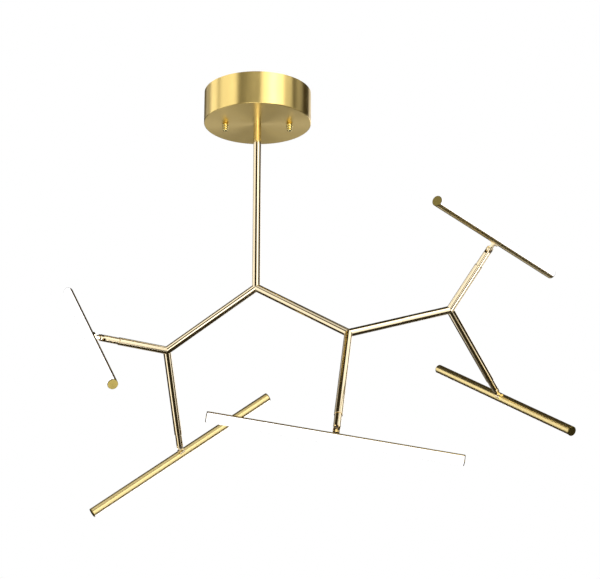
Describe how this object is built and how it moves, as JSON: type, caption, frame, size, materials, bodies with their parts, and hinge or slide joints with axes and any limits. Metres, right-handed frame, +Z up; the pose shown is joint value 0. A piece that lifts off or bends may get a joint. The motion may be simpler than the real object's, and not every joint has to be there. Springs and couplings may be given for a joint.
{
  "type": "multi arm chandelier",
  "caption": "Ceiling light with a drum canopy, a stem and a branching tree of tubes that ends in slim round light bars, each on a swivelling, tilting knuckle.",
  "frame": {"origin": "centre of the ceiling crossbar's top face, in the plane of the ceiling", "axes": "+Z up into the ceiling; +X along the line of the canopy's two finial nuts, towards the side with the far arm; -Y towards the front of the light"},
  "size_m": [0.8399, 0.5634, 0.6733],
  "materials": {
    "canopy_brass": "satin",
    "tube_brass": "polished",
    "bar_brass": "brushed",
    "cap_brass": "satin",
    "opal_acrylic": "opal, lit",
    "led_board_white": "white solder mask",
    "zinc_steel": "zinc plated",
    "dark_screws": "dark bronze",
    "earth_green": "green",
    "driver_case": "moulded",
    "connector_plastic": "moulded"
  },
  "bodies": {
    "canopy_and_arms": {"canopy_shell": "canopy_brass", "ceiling_crossbar": "zinc_steel", "ground_screw": "earth_green", "canopy_studs": "zinc_steel", "finial_nuts": "tube_brass", "stem_nipple": "zinc_steel", "nipple_nut": "zinc_steel", "driver_bracket": "zinc_steel", "led_driver": "driver_case", "driver_screws": "zinc_steel", "terminal_block": "connector_plastic", "stem_tube": "tube_brass", "left_arm": "tube_brass", "right_arm": "tube_brass", "far_arm_inner": "tube_brass", "far_arm_outer": "tube_brass", "far_arm_spigot": "zinc_steel", "retaining_screws": "dark_screws", "stub_left_high": "tube_brass", "stub_left_low": "tube_brass", "stub_middle": "tube_brass", "stub_right_high": "tube_brass", "stub_right_low": "tube_brass"},
    "knuckle_left_high": {"knuckle_left_high": "tube_brass"},
    "bar_left_high": {"bar_bracket_left_high": "bar_brass", "fasteners_left_high": "dark_screws", "bar_shell_left_high": "bar_brass", "end_caps_left_high": "cap_brass", "diffuser_left_high": "opal_acrylic", "led_board_left_high": "led_board_white"},
    "knuckle_left_low": {"knuckle_left_low": "tube_brass"},
    "bar_left_low": {"bar_bracket_left_low": "bar_brass", "fasteners_left_low": "dark_screws", "bar_shell_left_low": "bar_brass", "end_caps_left_low": "cap_brass", "diffuser_left_low": "opal_acrylic", "led_board_left_low": "led_board_white"},
    "knuckle_middle": {"knuckle_middle": "tube_brass"},
    "bar_middle": {"bar_bracket_middle": "bar_brass", "fasteners_middle": "dark_screws", "bar_shell_middle": "bar_brass", "end_caps_middle": "cap_brass", "diffuser_middle": "opal_acrylic", "led_board_middle": "led_board_white"},
    "knuckle_right_high": {"knuckle_right_high": "tube_brass"},
    "bar_right_high": {"bar_bracket_right_high": "bar_brass", "fasteners_right_high": "dark_screws", "bar_shell_right_high": "bar_brass", "end_caps_right_high": "cap_brass", "diffuser_right_high": "opal_acrylic", "led_board_right_high": "led_board_white"},
    "knuckle_right_low": {"knuckle_right_low": "tube_brass"},
    "bar_right_low": {"bar_bracket_right_low": "bar_brass", "fasteners_right_low": "dark_screws", "bar_shell_right_low": "bar_brass", "end_caps_right_low": "cap_brass", "diffuser_right_low": "opal_acrylic", "led_board_right_low": "led_board_white"}
  },
  "joints": [
    {"name": "swivel_left_high", "type": "hinge", "parent": "canopy_and_arms", "child": "knuckle_left_high", "pos_m": [-0.24446, -0.00542, -0.42156], "axis": [-0.8492, -0.526, 0.0467], "range_deg": [-165, 165]},
    {"name": "tilt_left_high", "type": "hinge", "parent": "knuckle_left_high", "child": "bar_left_high", "pos_m": [-0.24446, -0.00542, -0.42156], "axis": [-0.35, 0.4944, -0.7957], "range_deg": [-40.4, 29.6]},
    {"name": "swivel_left_low", "type": "hinge", "parent": "canopy_and_arms", "child": "knuckle_left_low", "pos_m": [-0.1364, 0.24363, -0.54973], "axis": [0.0407, 0.8364, -0.5467], "range_deg": [-165, 165]},
    {"name": "tilt_left_low", "type": "hinge", "parent": "knuckle_left_low", "child": "bar_left_low", "pos_m": [-0.1364, 0.24363, -0.54973], "axis": [-0.5926, 0.4607, 0.6607], "range_deg": [-27.7, 42.3]},
    {"name": "swivel_middle", "type": "hinge", "parent": "canopy_and_arms", "child": "knuckle_middle", "pos_m": [0.1226, -0.19173, -0.60424], "axis": [-0.1021, -0.6052, -0.7895], "range_deg": [-165, 165]},
    {"name": "tilt_middle", "type": "hinge", "parent": "knuckle_middle", "child": "bar_middle", "pos_m": [0.1226, -0.19173, -0.60424], "axis": [-0.1145, 0.7955, -0.595], "range_deg": [-36.1, 33.9]},
    {"name": "swivel_right_high", "type": "hinge", "parent": "canopy_and_arms", "child": "knuckle_right_high", "pos_m": [0.36735, -0.06347, -0.29404], "axis": [0.4971, -0.5208, 0.694], "range_deg": [-165, 165]},
    {"name": "tilt_right_high", "type": "hinge", "parent": "knuckle_right_high", "child": "bar_right_high", "pos_m": [0.36735, -0.06347, -0.29404], "axis": [0.5427, -0.4374, -0.717], "range_deg": [-25.1, 44.9]},
    {"name": "swivel_right_low", "type": "hinge", "parent": "canopy_and_arms", "child": "knuckle_right_low", "pos_m": [0.4023, 0.18032, -0.4657], "axis": [0.4136, 0.8157, -0.4045], "range_deg": [-165, 165]},
    {"name": "tilt_right_low", "type": "hinge", "parent": "knuckle_right_low", "child": "bar_right_low", "pos_m": [0.4023, 0.18032, -0.4657], "axis": [0.685, 0.014, 0.7284], "range_deg": [-22.3, 47.7]}
  ]
}
